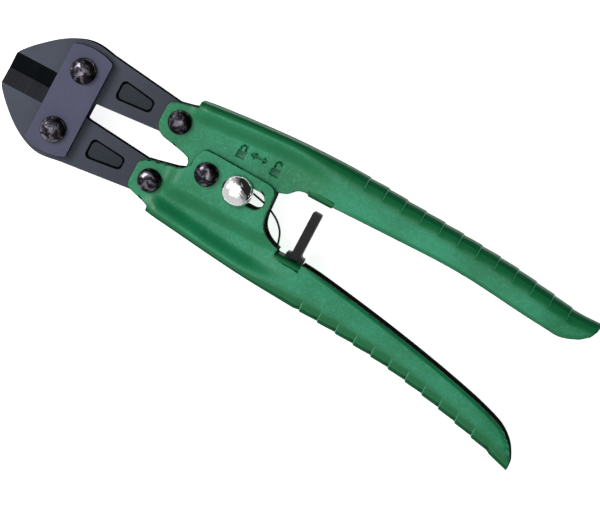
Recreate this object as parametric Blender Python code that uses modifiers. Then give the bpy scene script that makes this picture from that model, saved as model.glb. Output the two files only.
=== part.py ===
"""Compound-lever bolt cutters, 210 mm long, as an assembly of separate pieces.

The tool lies flat: X runs along it from the jaws (-X) to the grips (+X), Y points to the upper
handle, and Z is up, through the pivots. The origin is on the central pivot's axis, at the plane
that the tool lies on. Numbers are millimetres; MM turns them into metres where meshes are made.
"""
import math

import bmesh
import bpy
from mathutils import Matrix, Vector

MM = 0.001
GAP = 0.3                    # clearance between faces that touch on the real tool

# Linkage: jaws pivot on the link plates at LINK, and on the handles' lugs at LUG.
LINK = (-51.2, 10.7)
LUG = (-15.7, 10.7)
PIVOT = (0.0, 0.0)
OPENING = 25.0               # degrees between the handles' closed and fully open positions

# Levels above the tool's middle plane, and that plane's height above the bench.
JAW_HALF = 3.5
LINK_IN = 3.8
LINK_OUT = 6.8
SHEET = 1.6                  # thickness of the handles' steel sheet
LEAST_WIDTH = 11.0           # of a flange before its plan is cut
PLATE_TOP = 5.8              # outer face of a flat flange
CROWN_TOP = 8.1              # outer face of the raised flange and of the grips
WASHER = 0.5
REAR_HEAD = 0.9
MIDDLE = CROWN_TOP + 2 * GAP + WASHER + REAR_HEAD

# Pins and holes.
LINK_SHANK = 2.6
LUG_SHANK = 2.4
PIVOT_SHANK = 2.25
RUNNING = 0.25               # radial clearance of a pin in its hole
LINK_HEAD = 4.3
LUG_HEAD = 3.95
PIVOT_HEAD = 4.0

# Lock: a button that slides in a slot of the lower handle, and its catch in the upper handle.
LOCK_REST = 11.4
LOCK_IN = -1.3
LOCK_OUT = 6.5
LOCK_NECK = 2.75
LOCK_CATCH = 1.1
SLOT_HALF = 3.05
HUB_RADIUS = 7.3
TOOTH_RADIUS = 10.0
NOTCH_FLOOR = 8.7
NOTCH_HALF = LOCK_CATCH + GAP

# Spring.
WIRE = 0.35
COIL_RADIUS = 4.2
COIL_HALF = 2.5
COIL_TURNS = 5

# Stop between the handles.
STOP_X = (36.2, 39.4)
STOP_TOP = 5.35
TAB_X = (32.2, 41.0)
TAB_TOP_LOWER = -11.9
TAB_LOW_UPPER = 9.0
FOLD = 2.2                   # outer radius of a tab's fold, and the tab's thickness
FOLD_TOP = 7.0


# ---------------------------------------------------------------- scene

def start_scene():
    for old in list(bpy.data.objects):
        bpy.data.objects.remove(old, do_unlink=True)
    parts = bpy.data.collections.new("bolt_cutters")
    cutters = bpy.data.collections.new("cutters")
    for group in (parts, cutters):
        bpy.context.scene.collection.children.link(group)
    return parts, cutters


PARTS, CUTTERS = start_scene()


def make_material(name, colour, roughness, metallic):
    material = bpy.data.materials.new(name)
    material.use_nodes = True
    shader = material.node_tree.nodes["Principled BSDF"]
    shader.inputs["Base Color"].default_value = (*colour, 1.0)
    shader.inputs["Roughness"].default_value = roughness
    shader.inputs["Metallic"].default_value = metallic
    material.diffuse_color = (*colour, 1.0)
    return material


GREEN_PAINT = make_material("green_paint", (0.025, 0.20, 0.095), 0.42, 0.0)
BLACK_STEEL = make_material("black_steel", (0.045, 0.048, 0.055), 0.48, 0.6)
GREY_STEEL = make_material("grey_steel", (0.065, 0.067, 0.10), 0.45, 0.6)
RIVET_STEEL = make_material("rivet_steel", (0.02, 0.018, 0.02), 0.3, 0.7)
WASHER_STEEL = make_material("washer_steel", (0.35, 0.35, 0.36), 0.4, 1.0)
CHROME = make_material("chrome", (0.8, 0.8, 0.8), 0.06, 1.0)
SPRING_STEEL = make_material("spring_steel", (0.12, 0.12, 0.13), 0.35, 0.9)
BLACK_NYLON = make_material("black_nylon", (0.012, 0.012, 0.012), 0.55, 0.0)


def finish(obj, material):
    """Put an object among the parts, in its material."""
    obj.data.materials.clear()
    obj.data.materials.append(material)
    for group in list(obj.users_collection):
        group.objects.unlink(obj)
    PARTS.objects.link(obj)
    return obj


def as_cutter(obj):
    for group in list(obj.users_collection):
        group.objects.unlink(obj)
    CUTTERS.objects.link(obj)
    obj.hide_render = True
    obj.display_type = 'WIRE'
    return obj


# ---------------------------------------------------------------- outlines

def curve_through(points, spans=2):
    """Points of a smooth curve through the given points."""
    ends = [points[0]] + list(points) + [points[-1]]
    result = []
    for k in range(1, len(ends) - 2):
        p0, p1, p2, p3 = ends[k - 1:k + 3]
        for s in range(spans):
            t = s / spans
            result.append(tuple(
                0.5 * (2 * b + (c - a) * t + (2 * a - 5 * b + 4 * c - d) * t * t
                       + (3 * b - a - 3 * c + d) * t ** 3)
                for a, b, c, d in zip(p0, p1, p2, p3)))
    result.append(tuple(points[-1]))
    return result


def arc(centre, radius, start, end, steps):
    """Points of an arc, angles in degrees."""
    return [(centre[0] + radius * math.cos(math.radians(start + (end - start) * k / steps)),
             centre[1] + radius * math.sin(math.radians(start + (end - start) * k / steps)))
            for k in range(steps + 1)]


def rounded(corners, steps=3):
    """A closed outline from (x, y, radius) corners."""
    result = []
    count = len(corners)
    for k in range(count):
        x, y, radius = corners[k]
        here = Vector((x, y))
        if radius <= 0:
            result.append((x, y))
            continue
        before = (Vector(corners[k - 1][:2]) - here).normalized()
        after = (Vector(corners[(k + 1) % count][:2]) - here).normalized()
        half = before.angle(after) / 2
        reach = radius / math.tan(half)
        middle = here + (before + after).normalized() * (radius / math.sin(half))
        first = here + before * reach - middle
        turn = first.angle_signed(here + after * reach - middle)
        for s in range(steps + 1):
            spoke = Matrix.Rotation(-turn * s / steps, 2) @ first
            result.append(tuple(middle + spoke))
    return result


def flipped(points):
    return [(x, -y) for x, y in points]


def height_at(points, x):
    """Height of an open outline at x, between its points."""
    for (x0, y0), (x1, y1) in zip(points, points[1:]):
        if x <= x1:
            return y0 + (y1 - y0) * (x - x0) / (x1 - x0)
    return points[-1][1]


def ease(t):
    t = min(max(t, 0.0), 1.0)
    return t * t * (3 - 2 * t)


# ---------------------------------------------------------------- solids

def plate(name, outline, low, high):
    """A flat plate: the outline extruded from low to high above the middle plane."""
    curve = bpy.data.curves.new(name, 'CURVE')
    curve.dimensions = '2D'
    curve.fill_mode = 'BOTH'
    curve.extrude = (high - low) / 2 * MM
    spline = curve.splines.new('POLY')
    spline.points.add(len(outline) - 1)
    for point, (x, y) in zip(spline.points, outline):
        point.co = (x * MM, y * MM, 0, 1)
    spline.use_cyclic_u = True
    obj = bpy.data.objects.new(name, curve)
    obj.location.z = (MIDDLE + (low + high) / 2) * MM
    return curve_to_mesh(obj)


def curve_to_mesh(obj):
    """Replace a curve object by a closed mesh object of the same name and place."""
    name = obj.name
    bpy.context.scene.collection.objects.link(obj)
    bpy.context.view_layer.update()
    graph = bpy.context.evaluated_depsgraph_get()
    mesh = bpy.data.meshes.new_from_object(obj.evaluated_get(graph))
    place = obj.matrix_world.copy()
    bpy.data.objects.remove(obj, do_unlink=True)
    work = bmesh.new()
    work.from_mesh(mesh)
    bmesh.ops.remove_doubles(work, verts=work.verts, dist=0.000001)
    bmesh.ops.recalc_face_normals(work, faces=work.faces)
    work.to_mesh(mesh)
    work.free()
    solid = bpy.data.objects.new(name, mesh)
    solid.matrix_world = place
    bpy.context.scene.collection.objects.link(solid)
    return solid


def turned(name, profile, centre, steps=24):
    """A turned piece: (radius, height) points from the top down its outer side."""
    mesh = bpy.data.meshes.new(name)
    points = [(r * MM, 0, z * MM) for r, z in profile]
    mesh.from_pydata(points, [(k, k + 1) for k in range(len(points) - 1)], [])
    obj = bpy.data.objects.new(name, mesh)
    obj.location = (centre[0] * MM, centre[1] * MM, MIDDLE * MM)
    screw = obj.modifiers.new("turn", 'SCREW')
    screw.steps = steps
    screw.render_steps = steps
    screw.use_merge_vertices = True
    screw.merge_threshold = 0.00001
    bpy.context.scene.collection.objects.link(obj)
    return obj


def cylinder(name, centre, radius, low, high, steps=24):
    mesh = bpy.data.meshes.new(name)
    work = bmesh.new()
    bmesh.ops.create_cone(work, cap_ends=True, segments=steps, radius1=radius * MM,
                          radius2=radius * MM, depth=(high - low) * MM)
    work.to_mesh(mesh)
    work.free()
    obj = bpy.data.objects.new(name, mesh)
    obj.location = (centre[0] * MM, centre[1] * MM, (MIDDLE + (low + high) / 2) * MM)
    bpy.context.scene.collection.objects.link(obj)
    return obj


def block(name, low, high):
    """A box between two corners, heights counted from the middle plane."""
    mesh = bpy.data.meshes.new(name)
    work = bmesh.new()
    bmesh.ops.create_cube(work, size=1.0)
    size = [(b - a) * MM for a, b in zip(low, high)]
    bmesh.ops.scale(work, vec=size, verts=work.verts)
    work.to_mesh(mesh)
    work.free()
    obj = bpy.data.objects.new(name, mesh)
    middle = [(a + b) / 2 for a, b in zip(low, high)]
    obj.location = (middle[0] * MM, middle[1] * MM, (middle[2] + MIDDLE) * MM)
    bpy.context.scene.collection.objects.link(obj)
    return obj


def combine(target, other, operation='DIFFERENCE'):
    boolean = target.modifiers.new(other.name, 'BOOLEAN')
    boolean.operation = operation
    boolean.solver = 'EXACT'
    boolean.object = as_cutter(other)
    return target


def set_origin(obj, x, y):
    """Move an object's origin to a joint's axis, leaving the shape where it is."""
    shift = Vector((x * MM, y * MM, MIDDLE * MM)) - obj.location
    obj.data.transform(Matrix.Translation(-shift))
    obj.location += shift


# ---------------------------------------------------------------- handles

UPPER_SPINE = curve_through([
    (-26, 18.0), (-12.5, 20.1), (0, 21.5), (10, 22.4), (20, 23.1), (30, 23.5), (40, 23.8),
    (52, 23.4), (64, 22.6), (76, 22.0), (99, 20.5), (115, 18.5), (125, 17.1), (131, 16.7),
    (136.6, 17.0), (140, 17.4)])
UPPER_INNER = curve_through([
    (136.6, 17.0), (135.3, 12.8), (133.5, 10.9), (130, 8.7), (125.5, 7.3), (120, 7.6),
    (110, 8.4), (100, 9.4), (90, 10.2), (79, 10.5), (60, 10.1), (42, 9.7), (33, 9.8),
    (28.9, 9.1), (26.2, 6.6), (22.6, 5.3), (18.5, 3.9), (12.0, 3.5), (10.0, 3.2)])
UPPER_LUG = [
    (-12.6, 30), (-12.6, 17.9), (-15, 17.1), (-19.8, 16.0), (-21.4, 15.2), (-22.0, 13.8),
    (-22.0, 7.6), (-21.4, 6.3), (-20.3, 4.9), (-18.5, 4.0), (-15, 3.35), (-12.2, 2.8),
    (-10, 2.3), (-8.2, 1.7)]
LOWER_SPINE = curve_through([
    (-26, -18.2), (-12.2, -20.3), (0, -21.65), (16.3, -23.4), (30, -24.6), (50, -25.85),
    (65, -26.85), (80, -28.35), (95, -30.85), (110, -34.1), (120, -36.6), (131.0, -39.7),
    (138, -41.8)])
LOWER_INNER = curve_through([
    (131.0, -39.7), (131.0, -37.5), (130.2, -35.2), (127.5, -31.1), (122.6, -27.4),
    (114.8, -24.7), (105, -22.2), (90, -19.0), (70, -15.4), (50, -12.4), (41.4, -11.6),
    (34.5, -11.3), (28.6, -9.8), (25.0, -7.2), (23.5, -3.5), (23.0, 3.2), (22.6, 4.9), (21.3, 6.3),
    (19.5, 6.8)])
LOWER_LUG = [
    (0, 7.35), (-2.9, 7.2), (-4.4, 6.6), (-5.6, 4.0), (-6.3, 0), (-6.9, -1), (-8, -2),
    (-10, -2.8), (-12.7, -3.35), (-15, -3.9), (-17.1, -4.4), (-19.6, -4.9), (-21.2, -6.3),
    (-21.8, -7.6), (-21.8, -14.0), (-21.2, -15.6), (-19.6, -16.4), (-15, -17.7),
    (-12.6, -18.5), (-12.6, -50)]


def notch(angle):
    """The catch's notch in the upper handle's hub, centred on a direction from the pivot."""
    turn = Matrix.Rotation(math.radians(angle), 2)
    mouth = TOOTH_RADIUS
    return [tuple(turn @ Vector(p)) for p in (
        (mouth, -NOTCH_HALF), (NOTCH_FLOOR, -NOTCH_HALF), (NOTCH_FLOOR, NOTCH_HALF),
        (mouth, NOTCH_HALF))]


def upper_outline():
    """Plan of the upper handle, open to the spine side."""
    hub = arc(PIVOT, HUB_RADIUS, 178, 312, 9)
    hub += arc(PIVOT, TOOTH_RADIUS, 318, 324, 1)
    return UPPER_LUG + hub + notch(-OPENING) + notch(0) + list(reversed(UPPER_INNER)) + [
        (139, 19), (139, 30)]


def lower_outline():
    """Plan of the lower handle, open to the spine side."""
    return LOWER_INNER + LOWER_LUG + [(139, -50), (139, -42)]


def raised_area(x, y):
    """How far the lower handle's flange is raised over the upper handle's: 0 to 1."""
    return ease((x + 12.6) / 5.2) * ease((y + 13.2) / 5.4)


def flange_height(x, y, inward, round_width, raised):
    """Height of the sheet's outer face, at a distance inward from the spine."""
    plate_level = PLATE_TOP + (CROWN_TOP - PLATE_TOP) * raised
    crown = (1 - ease((inward - round_width) / 5.2)) * ease((x + 15.0) / 6)
    pivot_form = plate_level + (CROWN_TOP - plate_level) * crown
    fall = 0.9 * max(0.0, (inward - round_width) / 11) ** 2
    end_taper = 1.6 * ease((x - 112) / 28)
    grip_form = CROWN_TOP - fall - end_taper
    blend = ease((x - 22) / 20)
    return pivot_form + (grip_form - pivot_form) * blend


def handle_section(x, spine, width, raised_at):
    """Half a section of the sheet's outer face, from the spine to the flange's edge."""
    side = 1 if spine > 0 else -1
    round_width = 2.4 + 1.9 * ease((x - 20) / 25)
    top = flange_height(x, 0, round_width, round_width, 0)
    points = [(spine, 0.0)]
    side_steps = 3
    for k in range(side_steps + 1):
        a = math.radians(90 * k / side_steps)
        inward = round_width * (1 - math.cos(a))
        points.append((spine - side * inward, top - round_width * (1 - math.sin(a))))
    flat_steps = 8
    for k in range(1, flat_steps + 1):
        inward = round_width + (width - round_width) * (k / flat_steps) ** 1.15
        y = spine - side * inward
        points.append((y, flange_height(x, y, inward, round_width, raised_at(x, y))))
    return points


def handle_sheet(name, spine_line, reach, raised_at, stations):
    """The open sheet of a handle: front flange, rounded spine and rear flange."""
    mesh = bpy.data.meshes.new(name)
    work = bmesh.new()
    rows = []
    for x in stations:
        spine = height_at(spine_line, x)
        width = max(abs(spine - reach(x)), LEAST_WIDTH)
        half = handle_section(x, spine, width, raised_at)
        section = [(y, -z) for y, z in reversed(half)] + half[1:]
        rows.append([work.verts.new((x * MM, y * MM, z * MM)) for y, z in section])
    for row, following in zip(rows, rows[1:]):
        for k in range(len(row) - 1):
            work.faces.new((row[k], row[k + 1], following[k + 1], following[k]))
    bmesh.ops.recalc_face_normals(work, faces=work.faces)
    middle = len(rows[0]) // 2
    outward = 1 if rows[0][middle].co.y > 0 else -1
    work.faces.ensure_lookup_table()
    if work.faces[middle].normal.y * outward < 0:
        bmesh.ops.reverse_faces(work, faces=work.faces)
    work.to_mesh(mesh)
    work.free()
    obj = bpy.data.objects.new(name, mesh)
    obj.location.z = MIDDLE * MM
    bpy.context.scene.collection.objects.link(obj)
    solidify = obj.modifiers.new("sheet", 'SOLIDIFY')
    solidify.thickness = SHEET * MM
    solidify.offset = -1
    solidify.use_even_offset = True
    return obj


def handle_stations():
    near = [-24.0 + 2.5 * k for k in range(11)]
    return near + [7.0 + 7.3 * k for k in range(18)] + [138.6]


def hole(target, name, centre, radius):
    return combine(target, cylinder(name, centre, radius, -12, 12))


def slot(target, name, low_x, high_x, half):
    outline = arc((high_x, 0), half, -90, 90, 10) + arc((low_x, 0), half, 90, 270, 10)
    return combine(target, plate(name, outline, -12, 12))


def stop_tab(target, name, edge, side):
    """Tab folded inward from both flanges: a bridge whose two folds are quarter rounds."""
    near, far = sorted((edge, edge + side * FOLD))
    half = FOLD_TOP - 0.4
    combine(target, block(name, (TAB_X[0], near, -half), (TAB_X[1], far, half)), 'UNION')
    turn = Matrix(((0, 0, 1, 0), (1, 0, 0, 0), (0, 1, 0, 0), (0, 0, 0, 1)))
    fold = [(FOLD - x, y + FOLD_TOP - FOLD) for x, y in arc((0, 0), FOLD, 0, 90, 6)]
    section = [(-2, FOLD_TOP - FOLD)] + fold + [(FOLD, 12), (-2, 12)]
    for face in (1, -1):
        outline = [(edge + side * y, face * z) for y, z in section]
        cutter = plate(f"{name}_fold_{face}", outline, TAB_X[0] - 0.5, TAB_X[1] + 0.1)
        cutter.matrix_world = Matrix.Translation((0, 0, MIDDLE * MM)) @ turn @ (
            Matrix.Translation((0, 0, (sum(TAB_X) - 0.4) / 2 * MM)))
        combine(target, cutter)


def upper_reach(x):
    """How far down the upper handle's sheet is needed."""
    return -11.0 + 15.5 * ease((x - 10) / 26)


def lower_reach(x):
    grip_edge = list(reversed(LOWER_INNER[:21]))
    inner = height_at(grip_edge, x) + 1.5
    return 9.0 + (min(inner, 9.0) - 9.0) * ease((x - 24) / 20)


def make_upper_handle():
    name = "upper_handle"
    obj = handle_sheet(name, UPPER_SPINE, upper_reach, lambda x, y: 0.0, handle_stations())
    combine(obj, plate("upper_plan", upper_outline(), -12, 12), 'INTERSECT')
    stop_tab(obj, "upper_tab", TAB_LOW_UPPER, 1)
    hole(obj, "upper_pivot_hole", PIVOT, PIVOT_SHANK + RUNNING)
    hole(obj, "upper_lug_hole", LUG, LUG_SHANK + RUNNING)
    return finish(obj, GREEN_PAINT)


def make_lower_handle():
    name = "lower_handle"
    obj = handle_sheet(name, LOWER_SPINE, lower_reach, raised_area, handle_stations())
    combine(obj, plate("lower_plan", lower_outline(), -12, 12), 'INTERSECT')
    stop_tab(obj, "lower_tab", TAB_TOP_LOWER, -1)
    hole(obj, "lower_pivot_hole", PIVOT, PIVOT_SHANK + RUNNING)
    hole(obj, "lower_lug_hole", (LUG[0], -LUG[1]), LUG_SHANK + RUNNING)
    slot(obj, "lock_slot", LOCK_REST + LOCK_IN, LOCK_REST + LOCK_OUT, SLOT_HALF)
    screw_hole = cylinder("stop_screw_hole", (0, 0), 1.5, -4, 4, 20)
    screw_hole.rotation_euler.x = math.pi / 2
    screw_hole.location = (sum(STOP_X) / 2 * MM, TAB_TOP_LOWER * MM, MIDDLE * MM)
    combine(obj, screw_hole)
    return finish(obj, GREEN_PAINT)


# ---------------------------------------------------------------- jaws and link plates

def jaw_outline():
    """Plan of the upper jaw: blade, shoulder, tail and the eye round the lug rivet."""
    nose = curve_through([
        (-73.6, 5.4), (-72.4, 7.3), (-69.3, 10.7), (-64.4, 15.0), (-59.9, 17.9),
        (-55.0, 19.9), (-50.5, 20.3), (-45.0, 19.4)])
    eye = arc(LUG, 5.2, 82, -90, 9)
    inner = [(-20.5, 4.8), (-42.3, 2.9), (-46.5, 1.7), (-52.0, 0.7), (-58.3, 0.3),
             (-58.7, 0.15), (-73.9, 0.15)]
    return nose + eye + inner


def jaw_bevel(name, side, face):
    """Wedge that grinds the cutting edge, from one face of the blade."""
    rise = (JAW_HALF - 0.3) / 5.15
    far = 1.2
    section = [(0.15 - 2, 0.3 - 2 * rise), (5.3 + far, JAW_HALF + far * rise),
               (5.3 + far, 7), (0.15 - 2, 7)]
    wedge = plate(name, [(side * y, face * z) for y, z in section], 0, 17)
    turn = Matrix(((0, 0, 1, 0), (1, 0, 0, 0), (0, 1, 0, 0), (0, 0, 0, 1)))
    wedge.matrix_world = Matrix.Translation((-67.0 * MM, 0, MIDDLE * MM)) @ turn
    return wedge


def make_jaw(name, side):
    outline = jaw_outline() if side > 0 else flipped(jaw_outline())
    obj = plate(name, outline, -JAW_HALF, JAW_HALF)
    for face in (1, -1):
        combine(obj, jaw_bevel(f"{name}_bevel_{face}", side, face))
        pocket = rounded([(-38.7, 7.1, 1.6), (-25.8, 8.2, 1.6), (-25.8, 12.8, 1.6),
                          (-38.7, 14.5, 1.6)])
        pocket = pocket if side > 0 else flipped(pocket)
        low, high = sorted((face * (JAW_HALF - 0.6), face * (JAW_HALF + 1)))
        combine(obj, plate(f"{name}_pocket_{face}", pocket, low, high))
    link_hole = (LINK[0], side * LINK[1])
    lug_hole = (LUG[0], side * LUG[1])
    hole(obj, f"{name}_link_hole", link_hole, LINK_SHANK + RUNNING)
    hole(obj, f"{name}_lug_hole", lug_hole, LUG_SHANK + RUNNING)
    set_origin(obj, *lug_hole)
    return finish(obj, BLACK_STEEL)


def link_outline():
    crest = curve_through([(-57.9, 17.4), (-55.2, 18.3), (-51.2, 18.7), (-47.0, 18.2),
                           (-44.1, 17.2)])
    return [(-58.4, 16.9)] + crest + [(-43.6, 16.6), (-43.6, -16.6)] + list(
        reversed(flipped(crest))) + [(-58.4, -16.9)]


def make_link_plate(name, side):
    low, high = sorted((side * LINK_IN, side * LINK_OUT))
    obj = plate(name, link_outline(), low, high)
    for half in (1, -1):
        hole(obj, f"{name}_hole_{half}", (LINK[0], half * LINK[1]), LINK_SHANK + RUNNING)
    return finish(obj, GREY_STEEL)


# ---------------------------------------------------------------- rivets and washers

def rivet_profile(head, crown, shank, front, rear):
    """Domed head in front of the plates, shank through them, flat formed head behind."""
    seat = front + GAP
    rim = 0.6
    dome = []
    for k in range(6):
        a = math.radians(90 * k / 5)
        dome.append((head * math.sin(a), seat + rim + (crown - rim) * math.cos(a)))
    tail = rear - 2 * GAP - WASHER
    return dome + [(head, seat), (shank, seat), (shank, tail), (head - 0.5, tail),
                   (head - 0.8, tail - REAR_HEAD), (0, tail - REAR_HEAD)]


def make_rivet(name, centre, head, crown, shank, level):
    obj = turned(name, rivet_profile(head, crown, shank, level, -level), centre)
    finish(obj, RIVET_STEEL)
    washer_top = -level - GAP
    inner = shank + RUNNING
    outer = head + 0.15
    low = washer_top - WASHER
    profile = [(inner, washer_top), (outer, washer_top), (outer, low), (inner, low),
               (inner, washer_top)]
    washer = turned(name.replace("rivet", "washer"), profile, centre)
    return obj, finish(washer, WASHER_STEEL)


def make_rivets():
    for word, side in (("upper", 1), ("lower", -1)):
        make_rivet(f"{word}_link_rivet", (LINK[0], side * LINK[1]), LINK_HEAD, 2.6,
                   LINK_SHANK, LINK_OUT)
        make_rivet(f"{word}_lug_rivet", (LUG[0], side * LUG[1]), LUG_HEAD, 2.4,
                   LUG_SHANK, PLATE_TOP)
    make_rivet("pivot_rivet", PIVOT, PIVOT_HEAD, 2.4, PIVOT_SHANK, CROWN_TOP)


# ---------------------------------------------------------------- spring

def make_spring_bush():
    inner = PIVOT_SHANK + RUNNING
    outer = COIL_RADIUS - WIRE - 0.35
    top = PLATE_TOP - SHEET - GAP
    profile = [(inner, top), (outer, top), (outer, -top), (inner, -top), (inner, top)]
    return finish(turned("spring_bush", profile, PIVOT), WASHER_STEEL)


def spring_path():
    """Wire from the upper handle's leg, down the coil, to the lower handle's leg."""
    first = -28.0
    last = 77.2 - 360.0 * COIL_TURNS
    leg_in = [(23.0, 19.4), (18.0, 18.6), (14.6, 16.6), (12.2, 13.6), (10.4, 10.6), (7.0, 4.3)]
    path = [(x, y, COIL_HALF) for x, y in leg_in]
    steps = int((first - last) / 24)
    for k in range(steps + 1):
        a = math.radians(first + (last - first) * k / steps)
        z = COIL_HALF * (1 - 2 * k / steps)
        path.append((COIL_RADIUS * math.cos(a), COIL_RADIUS * math.sin(a), z))
    leg_out = [(9.0, 2.3), (16.8, 0.5), (21.2, -0.55), (24.2, -1.9), (26.9, -3.6), (29.3, -6.3),
               (30.6, -10.0), (31.4, -14.0), (33.4, -17.6), (37.5, -19.6), (42.0, -20.4)]
    return path + [(x, y, -COIL_HALF) for x, y in leg_out]


def make_torsion_spring():
    curve = bpy.data.curves.new("torsion_spring", 'CURVE')
    curve.dimensions = '3D'
    curve.bevel_depth = WIRE * MM
    curve.bevel_resolution = 2
    curve.use_fill_caps = True
    points = spring_path()
    spline = curve.splines.new('POLY')
    spline.points.add(len(points) - 1)
    for point, (x, y, z) in zip(spline.points, points):
        point.co = (x * MM, y * MM, z * MM, 1)
    obj = bpy.data.objects.new("torsion_spring", curve)
    obj.location.z = MIDDLE * MM
    return finish(curve_to_mesh(obj), SPRING_STEEL)


# ---------------------------------------------------------------- lock

def make_lock():
    centre = (LOCK_REST, 0.0)
    seat = CROWN_TOP + GAP
    button_radius = 5.3
    dome = []
    for k in range(8):
        a = math.radians(90 * k / 7)
        dome.append((button_radius * math.sin(a), seat + 0.5 + 3.0 * math.cos(a)))
    socket_top = seat + 2.4
    button = dome + [(button_radius, seat), (4.3, seat), (4.3, seat + 1.1), (1.9, seat + 1.1),
                     (1.9, socket_top), (0, socket_top)]
    finish(turned("lock_button", button, centre), CHROME)

    neck_low = PLATE_TOP + GAP
    neck_high = seat + 0.2
    stud = [(0, socket_top - GAP), (1.6, socket_top - GAP), (1.6, neck_high),
            (LOCK_NECK, neck_high), (LOCK_NECK, neck_low), (LOCK_CATCH, neck_low),
            (LOCK_CATCH, 2.4), (1.8, 2.4), (1.8, 1.8), (0, 1.8)]
    finish(turned("lock_stud", stud, centre), WASHER_STEEL)

    keeper_inner = LOCK_CATCH + RUNNING
    keeper = [(keeper_inner, 3.4), (3.5, 3.4), (3.5, 2.7), (keeper_inner, 2.7),
              (keeper_inner, 3.4)]
    finish(turned("lock_keeper_washer", keeper, centre), WASHER_STEEL)

    # Wave washer under the button: its height rises and falls round the ring.
    ring = turned("lock_wave_washer", [(3.0, seat + 0.35), (4.0, seat + 0.35),
                                       (4.0, seat + 0.05), (3.0, seat + 0.05),
                                       (3.0, seat + 0.35)], centre, 36)
    finish(ring, SPRING_STEEL)


# ---------------------------------------------------------------- stop

def make_stop():
    foot = TAB_TOP_LOWER + GAP
    low, high = STOP_X
    corners = [(low - 1.6, foot, 0.0), (high + 1.6, foot, 0.0), (high + 1.6, foot + 1.6, 0.5),
               (high, foot + 1.6, 0.8), (high, STOP_TOP, 0.6), (low, STOP_TOP, 0.6),
               (low, foot + 1.6, 0.8), (low - 1.6, foot + 1.6, 0.5)]
    post = plate("stop_post", rounded(corners), -3.2, 3.2)
    socket = cylinder("stop_socket", (0, 0), 1.15, -5, 5, 20)
    socket.rotation_euler.x = math.pi / 2
    middle = (low + high) / 2
    socket.location = (middle * MM, (foot - 0.6) * MM, MIDDLE * MM)
    combine(post, socket)
    finish(post, BLACK_NYLON)

    under = TAB_TOP_LOWER - FOLD - GAP
    screw = turned("stop_screw", [(0, foot + 3.6), (0.9, foot + 3.6), (0.9, under),
                                  (2.2, under), (2.2, under - 0.7), (1.5, under - 1.2),
                                  (0, under - 1.2)], (0, 0), 20)
    screw.rotation_euler.x = -math.pi / 2
    screw.location = (middle * MM, 0, MIDDLE * MM)
    finish(screw, RIVET_STEEL)


def main():
    make_lower_handle()
    make_upper_handle()
    make_jaw("upper_jaw", 1)
    make_jaw("lower_jaw", -1)
    make_link_plate("front_link_plate", 1)
    make_link_plate("rear_link_plate", -1)
    make_rivets()
    make_spring_bush()
    make_torsion_spring()
    make_lock()
    make_stop()


main()
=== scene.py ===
"""Bolt cutters: fine meshes, materials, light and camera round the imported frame.

Numbers are millimetres in the tool's own frame; MM turns them into metres where meshes are made.
X runs along the tool to the grips, Y points to the upper handle, Z is up through the pivots.
"""

import math

import bmesh
import bpy
from mathutils import Matrix, Vector
from mathutils.bvhtree import BVHTree


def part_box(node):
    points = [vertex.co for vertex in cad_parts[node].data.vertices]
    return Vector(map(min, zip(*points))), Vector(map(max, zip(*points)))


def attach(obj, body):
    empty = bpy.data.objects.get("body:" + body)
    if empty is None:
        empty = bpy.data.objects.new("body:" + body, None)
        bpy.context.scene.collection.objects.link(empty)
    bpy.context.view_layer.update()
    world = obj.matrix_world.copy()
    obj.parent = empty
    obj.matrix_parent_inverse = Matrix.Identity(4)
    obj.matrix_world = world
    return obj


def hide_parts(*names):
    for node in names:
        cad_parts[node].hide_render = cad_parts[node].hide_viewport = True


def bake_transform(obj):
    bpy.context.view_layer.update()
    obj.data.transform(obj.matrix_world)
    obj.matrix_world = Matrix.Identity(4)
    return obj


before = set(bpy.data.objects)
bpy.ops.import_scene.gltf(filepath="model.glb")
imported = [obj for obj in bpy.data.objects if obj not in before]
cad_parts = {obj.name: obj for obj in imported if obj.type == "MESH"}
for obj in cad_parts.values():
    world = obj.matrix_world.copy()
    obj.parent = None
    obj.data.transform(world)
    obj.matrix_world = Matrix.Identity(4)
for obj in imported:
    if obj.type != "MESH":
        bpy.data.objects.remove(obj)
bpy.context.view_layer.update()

MM = 0.001
GAP = 0.3

LINK = (-51.2, 10.7)
LUG = (-15.7, 10.7)
PIVOT = (0.0, 0.0)
OPENING = 25.0

JAW_HALF = 3.5
BEVEL_X = (-75.5, -58.5)     # the ground bevels run over this stretch, past the jaws' noses
LINK_IN = 3.8
LINK_OUT = 6.8
SHEET = 1.6
LEAST_WIDTH = 11.0
PLATE_TOP = 5.8
CROWN_TOP = 8.1
WASHER = 0.5
REAR_HEAD = 0.9
HANDLE_LOW, HANDLE_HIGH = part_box("lower_handle")
MIDDLE = (HANDLE_LOW.z + HANDLE_HIGH.z) / 2 / MM

LINK_SHANK = 2.6
LUG_SHANK = 2.4
PIVOT_SHANK = 2.25
RUNNING = 0.25
LINK_HEAD = 4.3
LUG_HEAD = 3.95
PIVOT_HEAD = 4.0

LOCK_REST = 11.4
LOCK_IN = -1.3
LOCK_OUT = 6.5
LOCK_NECK = 2.75
LOCK_CATCH = 1.1
SLOT_HALF = 3.05
HUB_RADIUS = 7.3
TOOTH_RADIUS = 10.0
NOTCH_FLOOR = 8.7
NOTCH_HALF = LOCK_CATCH + GAP

WIRE = 0.35
COIL_RADIUS = 4.2
COIL_HALF = 2.5
COIL_TURNS = 5

STOP_X = (36.2, 39.4)
STOP_TOP = 5.35
TAB_X = (32.2, 41.0)
TAB_TOP_LOWER = -11.9
TAB_LOW_UPPER = 9.0
FOLD = 2.2                   # outer radius of a tab's fold, and the tab's thickness
FOLD_TOP = 7.0

# A face whose normal's Z share is below these limits counts as a wall, and gets a wall material
# painted dark as shade.
PAINT_WALL = 0.74
STEEL_WALL = 0.50
RIVET_WALL = 0.48

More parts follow.
